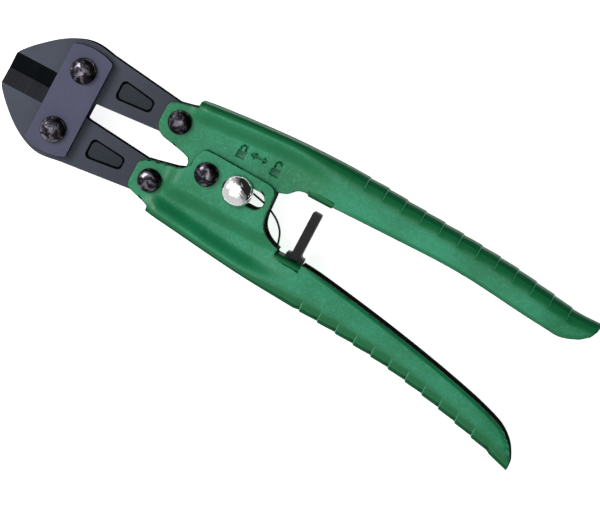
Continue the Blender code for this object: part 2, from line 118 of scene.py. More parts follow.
HANDLE_SHARP = 38.0          # degrees between faces at which a handle's edge stays crisp
HANDLE_EDGE = 0.3            # broken edge of the sheet
CRISP_ANGLE = 50.0           # degrees between faces from which an edge is broken
SNAP = 0.4                   # a bevel's vertex further off the sheet than this is put back on it
THROUGH = 12                 # through cuts reach this far to both sides of the middle plane

MARK_DEPTH = 0.32
SHUT_SIGN = (6.9, 11.9)
OPEN_SIGN = (19.4, 11.9)
ARROW_X = (9.6, 15.9)
ARROW_Y = 12.6

# Grip scallops: (first notch, pitch, count, depth); a step that faces back has a negative depth.
UPPER_SCALLOPS = (47.2, 7.07, 12, 0.34)
LOWER_SCALLOPS = (46.9, 6.85, 11, -0.46)


# ---------------------------------------------------------------- material nodes

class Shader:
    """A Principled material and short ways to add its nodes."""

    def __init__(self, name):
        self.material = bpy.data.materials.new(name)
        self.material.use_nodes = True
        self.tree = self.material.node_tree
        self.shader = self.tree.nodes["Principled BSDF"]
        coordinates = self.tree.nodes.new("ShaderNodeTexCoord")
        self.place = coordinates.outputs["Object"]

    def fixed(self, **values):
        for name, value in values.items():
            self.shader.inputs[name.replace("_", " ")].default_value = value
        return self

    def node(self, kind, inputs=None, **settings):
        node = self.tree.nodes.new("ShaderNode" + kind)
        for name, value in settings.items():
            setattr(node, name, value)
        for name, value in (inputs or {}).items():
            if isinstance(value, bpy.types.NodeSocket):
                self.tree.links.new(value, node.inputs[name])
            else:
                node.inputs[name].default_value = value
        return node

    def stretched(self, scale, turn=0.0):
        """Object coordinates, scaled along X, Y and Z, after a turn about Z."""
        mapping = self.node("Mapping", {"Vector": self.place, "Scale": scale,
                                        "Rotation": (0, 0, turn)})
        return mapping.outputs["Vector"]

    def noise(self, scale, detail=2.0, roughness=0.5, vector=None, distortion=0.0):
        node = self.node("TexNoise", {"Vector": vector or self.place, "Scale": scale,
                                      "Detail": detail, "Roughness": roughness,
                                      "Distortion": distortion})
        return node.outputs["Fac"]

    def cells(self, scale, vector=None, feature='F1'):
        node = self.node("TexVoronoi", {"Vector": vector or self.place, "Scale": scale},
                         feature=feature)
        return node.outputs["Distance"]

    def ramp(self, value, low, high, start=0.0, end=1.0):
        node = self.node("MapRange", {"Value": value, "From Min": low, "From Max": high,
                                      "To Min": start, "To Max": end})
        node.clamp = True
        return node.outputs["Result"]

    def math(self, operation, a, b):
        return self.node("Math", {0: a, 1: b}, operation=operation).outputs[0]

    def mix(self, factor, a, b):
        node = self.node("Mix", data_type='RGBA')
        for socket, value in ((node.inputs[0], factor), (node.inputs[6], a),
                              (node.inputs[7], b)):
            if isinstance(value, bpy.types.NodeSocket):
                self.tree.links.new(value, socket)
            elif isinstance(value, tuple):
                socket.default_value = (*value, 1.0)
            else:
                socket.default_value = value
        return node.outputs[2]

    def attribute(self, name):
        return self.node("Attribute", attribute_name=name).outputs["Fac"]

    def edges(self, low, high):
        """Near 1 on worn convex edges, 0 elsewhere."""
        point = self.node("NewGeometry").outputs["Pointiness"]
        return self.ramp(point, low, high)

    def facing_up(self):
        """1 on faces that look up or down, 0 on walls."""
        normal = self.node("NewGeometry").outputs["Normal"]
        z = self.node("SeparateXYZ", {"Vector": normal}).outputs["Z"]
        return self.math('ABSOLUTE', z, 0.0)

    def bump(self, height, strength, distance, before=None):
        node = self.node("Bump", {"Height": height, "Strength": strength,
                                  "Distance": distance})
        if before:
            self.tree.links.new(before, node.inputs["Normal"])
        return node.outputs["Normal"]

    def colour(self, socket):
        self.tree.links.new(socket, self.shader.inputs["Base Color"])

    def roughness(self, socket):
        self.tree.links.new(socket, self.shader.inputs["Roughness"])

    def normal(self, socket):
        self.tree.links.new(socket, self.shader.inputs["Normal"])


def green_paint(name="green_paint", shade=1.0, gloss=1.40):
    """Textured green enamel, worn at the edges; its inner faces, sloped faces, walls and the band
    along the spine are painted darker as shade, and the grip's notch lines get painted highlights.
    """
    s = Shader(name).fixed(Metallic=0.0, IOR=gloss)
    patches = s.noise(45.0, 3.0)
    crinkle = s.noise(1300.0, 4.0, 0.62, distortion=0.6)
    grain = s.cells(1900.0)
    deep = tuple(c * shade for c in (0.006, 0.180, 0.066))
    plain = tuple(c * shade for c in (0.018, 0.292, 0.148))
    light = tuple(c * shade for c in (0.070, 0.410, 0.240))
    base = s.mix(s.ramp(patches, 0.35, 0.68), deep, plain)
    mottle = s.noise(620.0, 3.0, 0.55, distortion=1.5)
    base = s.mix(s.ramp(mottle, 0.54, 0.66, 0.0, 0.22), base, light)
    base = s.mix(s.ramp(mottle, 0.46, 0.34, 0.0, 0.35), base, deep)
    base = s.mix(s.ramp(crinkle, 0.56, 0.74, 0.0, 0.55), base, light)
    base = s.mix(s.ramp(crinkle, 0.42, 0.28, 0.0, 0.5), base, deep)
    # Painted shade: faces tilted off flat turn to a deep green.
    slope_shade = s.ramp(s.facing_up(), 0.997, 0.960, 0.0, 0.55)
    base = s.mix(slope_shade, base, tuple(c * shade for c in (0.005, 0.160, 0.050)))
    # Painted shade: the band attribute darkens the green along the rounded spine and on the stop
    # tab.
    base = s.mix(s.ramp(s.attribute("band"), 0.0, 1.0, 0.0, 0.80), base,
                 tuple(c * shade for c in (0.002, 0.120, 0.032)))
    # Painted shade: walls that turn away from straight up go dark green.
    walls = s.ramp(s.facing_up(), 0.94, 0.55, 0.0, 0.84)
    base = s.mix(walls, base, tuple(c * shade for c in (0.004, 0.075, 0.028)))
    # Painted highlight: the notch attribute lays a pale line at each grip notch.
    base = s.mix(s.ramp(s.attribute("notch"), 0.1, 0.7, 0.0, 0.6), base, (0.11, 0.42, 0.26))
    rubbed = s.math('MULTIPLY', s.edges(0.60, 0.68), s.ramp(s.noise(260.0, 4.0), 0.42, 0.60))
    base = s.mix(s.ramp(rubbed, 0.1, 0.9, 0.0, 0.4), base, (0.07, 0.34, 0.19))
    chips = s.math('MULTIPLY', s.edges(0.66, 0.74), s.ramp(s.noise(520.0, 3.0), 0.66, 0.70))
    base = s.mix(chips, base, (0.06, 0.065, 0.07))
    # Painted shade: the sheet's inner faces are painted near black.
    base = s.mix(s.attribute("interior_shade"), base, (0.006, 0.007, 0.0065))
    s.colour(base)
    s.roughness(s.ramp(s.noise(700.0, 3.0), 0.3, 0.7, 0.30, 0.42))
    waves = s.bump(s.noise(420.0, 2.0, 0.5, distortion=1.2), 0.5, 0.00014)
    fine = s.bump(crinkle, 0.28, 0.00010, waves)
    s.normal(s.bump(grain, 0.12, 0.00005, fine))
    return s.material


def black_steel(name="black_steel", face=(0.058, 0.066, 0.091), glint=(0.11, 0.12, 0.15),
                gloss=1.28):
    """Forged steel: machined faces in grey oxide, darker to the tails, walls painted near black as
    shade.
    """
    s = Shader(name).fixed(Metallic=0.0, IOR=gloss)
    cloud = s.noise(38.0, 3.0, 0.55)
    speck = s.noise(2400.0, 3.0, 0.6)
    base = s.mix(s.ramp(cloud, 0.3, 0.7), tuple(c * 0.86 for c in face),
                 tuple(c * 1.16 for c in face))
    base = s.mix(s.ramp(speck, 0.56, 0.76, 0.0, 0.35), base, glint)
    drawn = s.noise(160.0, 4.0, 0.6, vector=s.stretched((1.0, 30.0, 30.0), 0.08))
    along = s.node("SeparateXYZ", {"Vector": s.place}).outputs["X"]
    tail = s.ramp(along, -0.046, -0.026, 0.0, 0.38)
    base = s.mix(tail, base, tuple(c * 0.35 for c in face))
    base = s.mix(s.ramp(drawn, 0.60, 0.76, 0.0, 0.22), base, glint)
    # Painted shade: walls that turn away from straight up go near black.
    base = s.mix(s.ramp(s.facing_up(), 0.96, 0.80), base, (0.0016, 0.0017, 0.0020))
    worn = s.math('MULTIPLY', s.edges(0.57, 0.66), s.ramp(s.noise(420.0, 4.0), 0.56, 0.70))
    base = s.mix(s.ramp(worn, 0.0, 1.0, 0.0, 0.5), base, glint)
    s.colour(base)
    s.roughness(s.ramp(s.noise(300.0, 4.0), 0.3, 0.7, 0.44, 0.58))
    forged = s.bump(s.noise(420.0, 3.0), 0.12, 0.00010)
    s.normal(s.bump(speck, 0.20, 0.00004, forged))
    return s.material


def black_wall_shade():
    """Matt near-black on the forged and sheared walls: painted shade, with a fine mottled texture.
    """
    s = Shader("black_wall_shade").fixed(Metallic=0.0, Specular_IOR_Level=0.0)
    scale = s.noise(700.0, 4.0, 0.6)
    s.colour(s.mix(s.ramp(scale, 0.35, 0.7), (0.0015, 0.0016, 0.0018), (0.008, 0.008, 0.009)))
    s.roughness(s.ramp(scale, 0.3, 0.7, 0.6, 0.8))
    s.normal(s.bump(scale, 0.3, 0.00008))
    return s.material


def ground_steel(name, tone, gloss):
    """A cutting bevel: ground face with fine grinding lines, its dark tone a painted reflection of
    dark surroundings.
    """
    s = Shader(name).fixed(Metallic=0.0, IOR=gloss)
    lines = s.noise(26.0, 3.0, 0.5, vector=s.stretched((70.0, 1.0, 1.0)))
    base = s.mix(s.ramp(lines, 0.3, 0.7), tuple(c * 0.75 for c in tone),
                 tuple(c * 1.3 for c in tone))
    fine = s.noise(60.0, 2.0, 0.5, vector=s.stretched((90.0, 1.0, 1.0)))
    s.colour(s.mix(s.ramp(fine, 0.60, 0.72, 0.0, 0.5), base, tuple(c * 2.0 for c in tone)))
    s.roughness(s.ramp(lines, 0.3, 0.7, 0.36, 0.50))
    s.normal(s.bump(lines, 0.10, 0.00003))
    return s.material


def rivet_steel():
    """Black oxide domes, burnished in patches on a hammered skin."""
    s = Shader("rivet_steel").fixed(Metallic=1.0)
    mottle = s.noise(420.0, 3.0, 0.55, distortion=0.8)
    s.colour(s.mix(s.ramp(mottle, 0.46, 0.68), (0.014, 0.013, 0.017), (0.22, 0.20, 0.24)))
    s.roughness(s.ramp(mottle, 0.40, 0.65, 0.34, 0.16))
    s.normal(s.bump(mottle, 0.45, 0.00014))
    return s.material


def plain_steel(name, tone, rough):
    """Bright zinc-plated or oiled spring steel, slightly clouded."""
    s = Shader(name).fixed(Metallic=1.0)
    cloud = s.noise(500.0, 4.0, 0.6)
    base = s.mix(s.ramp(cloud, 0.3, 0.7), tone, tuple(min(1.0, c * 1.35) for c in tone))
    s.colour(s.mix(s.ramp(s.noise(1500.0, 2.0), 0.62, 0.72, 0.0, 0.6), base,
                   tuple(c * 0.45 for c in tone)))
    s.roughness(s.ramp(cloud, 0.3, 0.7, rough - 0.06, rough + 0.08))
    s.normal(s.bump(s.noise(1800.0, 2.0), 0.15, 0.00003))
    return s.material


def chrome():
    """Polished plating with faint handling marks."""
    s = Shader("chrome").fixed(Metallic=1.0)
    haze = s.noise(300.0, 5.0, 0.6)
    marks = s.noise(160.0, 4.0, 0.6, vector=s.stretched((1.0, 22.0, 22.0), 0.7))
    base = s.mix(s.ramp(haze, 0.45, 0.75, 0.0, 0.35), (0.86, 0.86, 0.87), (0.74, 0.70, 0.64))
    s.colour(s.mix(s.ramp(marks, 0.66, 0.70, 0.0, 0.25), base, (0.5, 0.5, 0.5)))
    s.roughness(s.ramp(haze, 0.3, 0.8, 0.03, 0.10))
    s.normal(s.bump(s.noise(330.0, 2.0, distortion=1.2), 0.8, 0.00026))
    return s.material


def black_nylon():
    """Moulded matt black plastic with a fine grain."""
    s = Shader("black_nylon").fixed(Metallic=0.0, Specular_IOR_Level=0.3)
    grain = s.noise(2600.0, 3.0)
    s.colour(s.mix(s.ramp(grain, 0.35, 0.7), (0.004, 0.004, 0.0045), (0.011, 0.011, 0.012)))
    s.roughness(s.ramp(s.noise(300.0, 3.0), 0.3, 0.7, 0.48, 0.64))
    s.normal(s.bump(grain, 0.25, 0.00005))
    return s.material


GREEN = green_paint()
# Green painted darker as shade, for the faces of the pressed marks.
MARK_SHADE_GREEN = green_paint("green_paint_mark_shade", 0.50)
# Green painted darker as shade, with a weaker gloss, for the handles' steep walls.
WALL_SHADE_GREEN = green_paint("green_paint_wall_shade", 0.85, 1.05)
BLACK = black_steel()
# Jaw steel painted darker as shade, for the pockets' floors.
POCKET_SHADE = black_steel("pocket_shade", (0.040, 0.048, 0.060), (0.07, 0.08, 0.09), 1.15)
GREY = black_steel("grey_steel", (0.078, 0.080, 0.134), (0.14, 0.14, 0.20))
# Near black painted as shade, for the steep walls of jaws, link plates and rivet rims, and the
# pockets' walls.
BLACK_WALL_SHADE = black_wall_shade()
# The upper bevel's near-black tone is painted shade, as it faces away from the light; the lower
# bevel is lighter.
GROUND_UPPER_SHADE = ground_steel("ground_steel_upper_shade", (0.0045, 0.0062, 0.0076), 1.06)
GROUND_LOWER = ground_steel("ground_steel_lower", (0.030, 0.031, 0.037), 1.10)
RIVET = rivet_steel()
ZINC = plain_steel("washer_steel", (0.40, 0.40, 0.41), 0.34)
SPRING = plain_steel("spring_steel", (0.04, 0.04, 0.043), 0.38)
CHROME = chrome()
NYLON = black_nylon()


# ---------------------------------------------------------------- outlines

def curve_through(points, spans=6):
    """Points of a smooth curve through the given points."""
    ends = [points[0]] + list(points) + [points[-1]]
    result = []
    for k in range(1, len(ends) - 2):
        p0, p1, p2, p3 = ends[k - 1:k + 3]
        for s in range(spans):
            t = s / spans
            result.append(tuple(
                0.5 * (2 * b + (c - a) * t + (2 * a - 5 * b + 4 * c - d) * t * t
                       + (3 * b - a - 3 * c + d) * t ** 3)
                for a, b, c, d in zip(p0, p1, p2, p3)))
    result.append(tuple(points[-1]))
    return result


def arc(centre, radius, start, end, steps):
    """Points of an arc, angles in degrees."""
    return [(centre[0] + radius * math.cos(math.radians(start + (end - start) * k / steps)),
             centre[1] + radius * math.sin(math.radians(start + (end - start) * k / steps)))
            for k in range(steps + 1)]


def rounded(corners, steps=5):
    """A closed outline from (x, y, radius) corners."""
    result = []
    count = len(corners)
    for k in range(count):
        x, y, radius = corners[k]
        here = Vector((x, y))
        if radius <= 0:
            result.append((x, y))
            continue
        before = (Vector(corners[k - 1][:2]) - here).normalized()
        after = (Vector(corners[(k + 1) % count][:2]) - here).normalized()
        half = before.angle(after) / 2
        reach = radius / math.tan(half)
        middle = here + (before + after).normalized() * (radius / math.sin(half))
        first = here + before * reach - middle
        turn = first.angle_signed(here + after * reach - middle)
        for s in range(steps + 1):
            spoke = Matrix.Rotation(-turn * s / steps, 2) @ first
            result.append(tuple(middle + spoke))
    return result


def flipped(points):
    return [(x, -y) for x, y in points]


def height_at(points, x):
    """Height of an open outline at x, between its points."""
    for (x0, y0), (x1, y1) in zip(points, points[1:]):
        if x <= x1:
            return y0 + (y1 - y0) * (x - x0) / (x1 - x0)
    return points[-1][1]


def ease(t):
    t = min(max(t, 0.0), 1.0)
    return t * t * (3 - 2 * t)


# ---------------------------------------------------------------- solids

def link(obj):
    bpy.context.scene.collection.objects.link(obj)
    return obj


def evaluated_mesh(obj):
    bpy.context.view_layer.update()
    graph = bpy.context.evaluated_depsgraph_get()
    return bpy.data.meshes.new_from_object(obj.evaluated_get(graph))


def plate(name, outline, low, high, material):
    """A flat plate: the outline extruded from low to high above the middle plane."""
    curve = bpy.data.curves.new(name, 'CURVE')
    curve.dimensions = '2D'
    curve.fill_mode = 'BOTH'
    curve.extrude = (high - low) / 2 * MM
    spline = curve.splines.new('POLY')
    spline.points.add(len(outline) - 1)
    for point, (x, y) in zip(spline.points, outline):
        point.co = (x * MM, y * MM, 0, 1)
    spline.use_cyclic_u = True
    obj = bpy.data.objects.new(name, curve)
    obj.location.z = (MIDDLE + (low + high) / 2) * MM
    return curve_to_mesh(obj, material)


def curve_to_mesh(obj, material):
    """Replace a curve object by a closed mesh object of the same name and place."""
    name = obj.name
    link(obj)
    mesh = evaluated_mesh(obj)
    place = obj.matrix_world.copy()
    bpy.data.objects.remove(obj, do_unlink=True)
    work = bmesh.new()
    work.from_mesh(mesh)
    bmesh.ops.remove_doubles(work, verts=work.verts, dist=0.000001)
    bmesh.ops.recalc_face_normals(work, faces=work.faces)
    work.to_mesh(mesh)
    work.free()
    mesh.materials.clear()
    mesh.materials.append(material)
    solid = link(bpy.data.objects.new(name, mesh))
    solid.matrix_world = place
    return solid


def slab_across(name, section, low, high, material):
    """A plate whose section lies in Y and Z and which runs from low to high along X."""
    slab = plate(name, section, low, high, material)
    turn = Matrix(((0, 0, 1, 0), (1, 0, 0, 0), (0, 1, 0, 0), (0, 0, 0, 1)))
    slab.matrix_world = Matrix.Translation(((low + high) / 2 * MM, 0, MIDDLE * MM)) @ turn
    return slab


def turned(name, profile, centre, material, steps=72):
    """A turned piece: (radius, height) points from the top down its outer side."""
    mesh = bpy.data.meshes.new(name)
    points = [(r * MM, 0, z * MM) for r, z in profile]
    mesh.from_pydata(points, [(k, k + 1) for k in range(len(points) - 1)], [])
    mesh.materials.append(material)
    obj = link(bpy.data.objects.new(name, mesh))
    obj.location = (centre[0] * MM, centre[1] * MM, MIDDLE * MM)
    screw = obj.modifiers.new("turn", 'SCREW')
    screw.steps = steps
    screw.render_steps = steps
    screw.use_merge_vertices = True
    screw.merge_threshold = 0.00001
    return obj


def through_cylinder(name, centre, radius):
    mesh = bpy.data.meshes.new(name)
    work = bmesh.new()
    bmesh.ops.create_cone(work, cap_ends=True, segments=64, radius1=radius * MM,
                          radius2=radius * MM, depth=2 * THROUGH * MM)
    work.to_mesh(mesh)
    work.free()
    obj = link(bpy.data.objects.new(name, mesh))
    obj.location = (centre[0] * MM, centre[1] * MM, MIDDLE * MM)
    return obj


def block(name, low, high, material):
    """A box between two corners, heights counted from the middle plane."""
    mesh = bpy.data.meshes.new(name)
    work = bmesh.new()
    bmesh.ops.create_cube(work, size=1.0)
    bmesh.ops.scale(work, vec=[(b - a) * MM for a, b in zip(low, high)], verts=work.verts)
    work.to_mesh(mesh)
    work.free()
    mesh.materials.append(material)
    obj = link(bpy.data.objects.new(name, mesh))
    middle = [(a + b) / 2 for a, b in zip(low, high)]
    obj.location = (middle[0] * MM, middle[1] * MM, (middle[2] + MIDDLE) * MM)
    return obj


def combine(target, other, operation='DIFFERENCE'):
    boolean = target.modifiers.new(other.name, 'BOOLEAN')
    boolean.operation = operation
    boolean.solver = 'EXACT'
    boolean.material_mode = 'TRANSFER'
    boolean.object = other
    boolean.show_viewport = False
    target["cutters"] = list(target.get("cutters", [])) + [other.name]


def bevel(obj, width, segments, angle=CRISP_ANGLE):
    """Break an object's edges where its faces meet at more than an angle in degrees."""
    modifier = obj.modifiers.new("edges", 'BEVEL')
    modifier.width = width * MM
    modifier.segments = segments
    modifier.limit_method = 'ANGLE'
    modifier.angle_limit = math.radians(angle)
    modifier.use_clamp_overlap = True
    modifier.show_viewport = False
    return modifier


def settled(obj, sharp=40.0):
    """Apply an object's modifiers and place, remove its cutters, and smooth its faces."""
    for modifier in obj.modifiers:
        modifier.show_viewport = True
    mesh = evaluated_mesh(obj)
    mesh.transform(obj.matrix_world)
    for name in obj.get("cutters", []):
        bpy.data.objects.remove(bpy.data.objects[name], do_unlink=True)
    name = obj.name
    bpy.data.objects.remove(obj, do_unlink=True)
    mesh.shade_smooth()
    mesh.set_sharp_from_angle(angle=math.radians(sharp))
    done = link(bpy.data.objects.new(name, mesh))
    flats = done.modifiers.new("flats", 'WEIGHTED_NORMAL')
    flats.keep_sharp = True
    flats.weight = 100
    done.data = evaluated_mesh(done)
    done.modifiers.clear()
    return done


def edge_material(obj, limit, material):
    """Give an object's steep faces another material."""
    obj.data.materials.append(material)
    last = len(obj.data.materials) - 1
    for face in obj.data.polygons:
        if abs(face.normal.z) < limit:
            face.material_index = last
    return obj


def fit(obj, body, slot, *nodes):
    """A finished piece: it rides on its body and stands for its CAD nodes."""
    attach(obj, body)
    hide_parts(*nodes)


# ---------------------------------------------------------------- handles

UPPER_SPINE = curve_through([
    (-26, 18.0), (-12.5, 20.1), (0, 21.5), (10, 22.4), (20, 23.1), (30, 23.5), (40, 23.7),
    (52, 23.4), (64, 22.6), (76, 22.0), (99, 20.5), (115, 18.5), (125, 17.1), (131, 16.7),
    (136.6, 17.0), (140, 17.4)])
UPPER_INNER = curve_through([
    (136.6, 17.0), (135.3, 12.8), (133.5, 10.9), (130, 8.7), (125.5, 7.3), (120, 7.6),
    (110, 8.4), (100, 9.4), (90, 10.2), (79, 10.5), (60, 10.1), (42, 9.7), (33, 9.8),
    (28.9, 9.1), (26.2, 6.6), (22.6, 5.3), (18.5, 3.9), (12.0, 3.5), (10.0, 3.2)], 4)
UPPER_LUG = [
    (-12.6, 30), (-12.6, 17.9), (-15, 17.1), (-19.8, 16.0), (-21.4, 15.2), (-22.0, 13.8),
    (-22.0, 7.6), (-21.4, 6.3), (-20.3, 4.9), (-18.5, 4.0), (-15, 3.35), (-12.2, 2.8),
    (-10, 2.3), (-8.2, 1.7)]
LOWER_SPINE = curve_through([
    (-26, -18.2), (-12.2, -20.3), (0, -21.65), (16.3, -23.4), (30, -24.6), (50, -25.85),
    (65, -26.85), (80, -28.35), (95, -30.85), (110, -34.1), (120, -36.6), (131.0, -39.7),
    (138, -41.8)])
LOWER_INNER = curve_through([
    (131.0, -39.7), (131.0, -37.5), (130.2, -35.2), (127.5, -31.1), (122.6, -27.4),
    (114.8, -24.7), (105, -22.2), (90, -19.0), (70, -15.4), (50, -12.4), (41.4, -11.6),
    (34.5, -11.3), (28.6, -9.8), (25.0, -7.2), (23.5, -3.5), (23.0, 3.2), (22.6, 4.9), (21.3, 6.3),
    (19.5, 6.8)], 4)
LOWER_GRIP_EDGE = list(reversed(LOWER_INNER[:41]))
UPPER_GRIP_EDGE = list(reversed(UPPER_INNER[:49]))
LOWER_LUG = [
    (0, 7.35), (-2.9, 7.2), (-4.4, 6.6), (-5.6, 4.0), (-6.3, 0), (-6.9, -1), (-8, -2),
    (-10, -2.8), (-12.7, -3.35), (-15, -3.9), (-17.1, -4.4), (-19.6, -4.9), (-21.2, -6.3),
    (-21.8, -7.6), (-21.8, -14.0), (-21.2, -15.6), (-19.6, -16.4), (-15, -17.7),
    (-12.6, -18.5), (-12.6, -50)]


def notch(angle):
    """The catch's notch in the upper handle's hub, centred on a direction from the pivot."""
    turn = Matrix.Rotation(math.radians(angle), 2)
    return [tuple(turn @ Vector(p)) for p in (
        (TOOTH_RADIUS, -NOTCH_HALF), (NOTCH_FLOOR, -NOTCH_HALF), (NOTCH_FLOOR, NOTCH_HALF),
        (TOOTH_RADIUS, NOTCH_HALF))]


def upper_outline():
    """Plan of the upper handle, open to the spine side."""
    hub = arc(PIVOT, HUB_RADIUS, 178, 312, 24)
    hub += arc(PIVOT, TOOTH_RADIUS, 318, 324, 2)
    return UPPER_LUG + hub + notch(-OPENING) + notch(0) + list(reversed(UPPER_INNER)) + [
        (136.7, 30)]


def lower_outline():
    """Plan of the lower handle, open to the spine side."""
    return LOWER_INNER + LOWER_LUG + [(131.1, -50)]


def grip_share(x):
    """0 round the pivot, rising to 1 along the grip."""
    return ease((x - 20) / 25)


def spine_round(x):
    """Radius of the sheet's round from the spine to the flange."""
    return 2.4 + 1.9 * grip_share(x)


def raised_area(x, y):
    """How far the lower handle's flange is raised over the upper handle's: 0 to 1."""
    return ease((x + 12.6) / 5.2) * ease((y + 13.2) / 5.4)


def flange_height(x, inward, round_width, raised):
    """Height of the sheet's outer face, at a distance inward from the spine."""
    plate_level = PLATE_TOP + (CROWN_TOP - PLATE_TOP) * raised
    crown = (1 - ease((inward - round_width) / 5.2)) * ease((x + 15.0) / 6)
    pivot_form = plate_level + (CROWN_TOP - plate_level) * crown
    fall = 0.9 * max(0.0, (inward - round_width) / 11) ** 2
    end_taper = 1.6 * ease((x - 112) / 28)
    grip_form = CROWN_TOP - fall - end_taper
    blend = ease((x - 22) / 20)
    return pivot_form + (grip_form - pivot_form) * blend


def scallop_depth(x, scallops):
    """How far the grip's outer band is pressed in: a saw edge with a step at each notch."""
    first, pitch, count, depth = scallops
    along = (x - first) / pitch
    if along < 0 or along > count:
        return 0.0
    part = along - math.floor(along)
    step = ease(part / 0.07)
    if depth > 0:
        return depth * step * (1 - part) ** 1.4
    return -depth * (1 - step + step * part ** 1.4)


def handle_section(x, width, raised_at, side, spine):
    """Half a section of the sheet's outer face, from the spine to the flange's edge.

    Each point is its distance inward from the spine, its height, and the direction and
    share of a scallop's press there.
    """
    round_width = spine_round(x)
    top = flange_height(x, round_width, round_width, 0)
    points = [(0.0, 0.0, 1.0, 0.0), (0.0, 0.5 * (top - round_width), 1.0, 0.0)]
    side_steps = 9
    for k in range(side_steps + 1):
        a = math.radians(90 * k / side_steps)
        share = 1 - ease((k / side_steps - 0.8) / 0.2)
        points.append((round_width * (1 - math.cos(a)), top - round_width * (1 - math.sin(a)),
                       share * math.cos(a), share * math.sin(a)))
    flat_steps = 30
    for k in range(1, flat_steps + 1):
        inward = round_width + (width - round_width) * k / flat_steps
        raised = raised_at(x, spine - side * inward)
        points.append((inward, flange_height(x, inward, round_width, raised), 0.0, 0.0))
    return points


def handle_stations(scallops):
    """Places along the handle: close together, closest at each grip notch."""
    first, pitch, count = scallops[:3]
    near = [-24.0 + 1.0 * k for k in range(int(first + 24))]
    shares = (0.0, 0.035, 0.07, 0.2, 0.35, 0.5, 0.65, 0.8, 0.93)
    grip = [first + pitch * (k + share) for k in range(count) for share in shares]
    last = first + pitch * count
    return near + grip + [last + (138.8 - last) * k / 12 for k in range(13)]


def handle_sheet(name, spine_line, grip_edge, reach, raised_at, scallops):
    """The open sheet of a handle: front flange, rounded spine and rear flange."""
    mesh = bpy.data.meshes.new(name)
    work = bmesh.new()
    rows = []
    presses = []
    for x in handle_stations(scallops):
        spine = height_at(spine_line, x)
        side = 1 if spine > 0 else -1
        width = max(abs(spine - reach(x)), LEAST_WIDTH)
        edge = abs(spine - height_at(grip_edge, x))
        half = handle_section(x, width, raised_at, side, spine)
        section = [(u, -z, p, -q) for u, z, p, q in reversed(half)] + half[1:]
        rows.append([work.verts.new((x * MM, (spine - side * u) * MM, z * MM))
                     for u, z, p, q in section])
        depth = scallop_depth(x, scallops)
        lip = 0.5 * ease((x - 40) / 16)
        for u, z, p, q in section:
            drawn_in = lip * ease((u - edge + 1.2) / 1.2)
            presses.append((-side * depth * p, -depth * q - math.copysign(drawn_in, z)))
    for row, following in zip(rows, rows[1:]):
        for k in range(len(row) - 1):
            work.faces.new((row[k], row[k + 1], following[k + 1], following[k]))
    bmesh.ops.recalc_face_normals(work, faces=work.faces)
    middle = len(rows[0]) // 2
    outward = 1 if rows[0][middle].co.y > 0 else -1
    work.faces.ensure_lookup_table()
    if work.faces[middle].normal.y * outward < 0:
        bmesh.ops.reverse_faces(work, faces=work.faces)
    work.to_mesh(mesh)
    work.free()
    mesh.materials.append(GREEN)
    smooth = link(bpy.data.objects.new(name + "_smooth", mesh))
    solidify = smooth.modifiers.new("sheet", 'SOLIDIFY')
    solidify.thickness = SHEET * MM
    solidify.offset = -1
    solidify.use_even_offset = True
    shell = link(bpy.data.objects.new(name, evaluated_mesh(smooth)))
    bpy.data.objects.remove(smooth)
    for vertex, (dy, dz) in zip(shell.data.vertices, presses):
        vertex.co.y += dy * MM
        vertex.co.z += dz * MM
    shell.location.z = MIDDLE * MM
    return shell


def hole(target, name, centre, radius):
    combine(target, through_cylinder(name, centre, radius))


def through_plate(name, outline):
    """A painted plate that reaches through both flanges of a handle."""
    return plate(name, outline, -THROUGH, THROUGH, GREEN)


def stop_tab(target, name, edge, side):
    """Tab folded inward from both flanges: a bridge whose two folds are quarter rounds."""
    near, far = sorted((edge, edge + side * FOLD))
    half = FOLD_TOP - 0.4
    combine(target, block(name, (TAB_X[0], near, -half), (TAB_X[1], far, half), GREEN), 'UNION')
    fold = [(FOLD - x, y + FOLD_TOP - FOLD) for x, y in arc((0, 0), FOLD, 0, 90, 14)]
    section = [(-2, FOLD_TOP - FOLD)] + fold + [(FOLD, 12), (-2, 12)]
    for face in (1, -1):
        outline = [(edge + side * y, face * z) for y, z in section]
        combine(target, slab_across(f"{name}_fold_{face}", outline, TAB_X[0] - 0.5,
                                    TAB_X[1] + 0.1, GREEN))


def upper_reach(x):
    """How far down the upper handle's sheet is needed."""
    return -11.0 + 15.5 * ease((x - 10) / 26)


def lower_reach(x):
    inner = height_at(LOWER_GRIP_EDGE, x) + 1.5
    return 9.0 + (min(inner, 9.0) - 9.0) * ease((x - 24) / 20)


def engrave(target, name, outline):
    """Press a mark into the front flange."""
    # The mark's faces take green painted darker as shade.
    combine(target, plate(name, outline, PLATE_TOP - MARK_DEPTH, PLATE_TOP + 2, MARK_SHADE_GREEN))


def padlock(target, name, x, y, opened):
    """A plain padlock sign: body, and a shackle that is shut or swung open."""
    engrave(target, name + "_body", rounded([
        (x - 1.5, y - 2.3, 0.3), (x + 1.5, y - 2.3, 0.3), (x + 1.5, y + 0.1, 0.3),
        (x - 1.5, y + 0.1, 0.3)]))
    lift = 0.9 if opened else 0.35
    outer = arc((x, y + lift + 0.9), 1.15, 0, 180, 12)
    inner = arc((x, y + lift + 0.9), 0.6, 180, 0, 12)
    free_end = 1.6 if opened else 0.35
    shackle = [(x + 1.15, y + free_end)] + outer + [(x - 1.15, y + 0.35), (x - 0.6, y + 0.35)]
    engrave(target, name + "_shackle", shackle + inner + [(x + 0.6, y + free_end)])


def double_arrow(target, name, low, high, y):
    head = 1.7
    half = 1.15
    shaft = 0.32
    engrave(target, name, [
        (low, y), (low + head, y + half), (low + head, y + shaft), (high - head, y + shaft),
        (high - head, y + half), (high, y), (high - head, y - half), (high - head, y - shaft),
        (low + head, y - shaft), (low + head, y - half)])


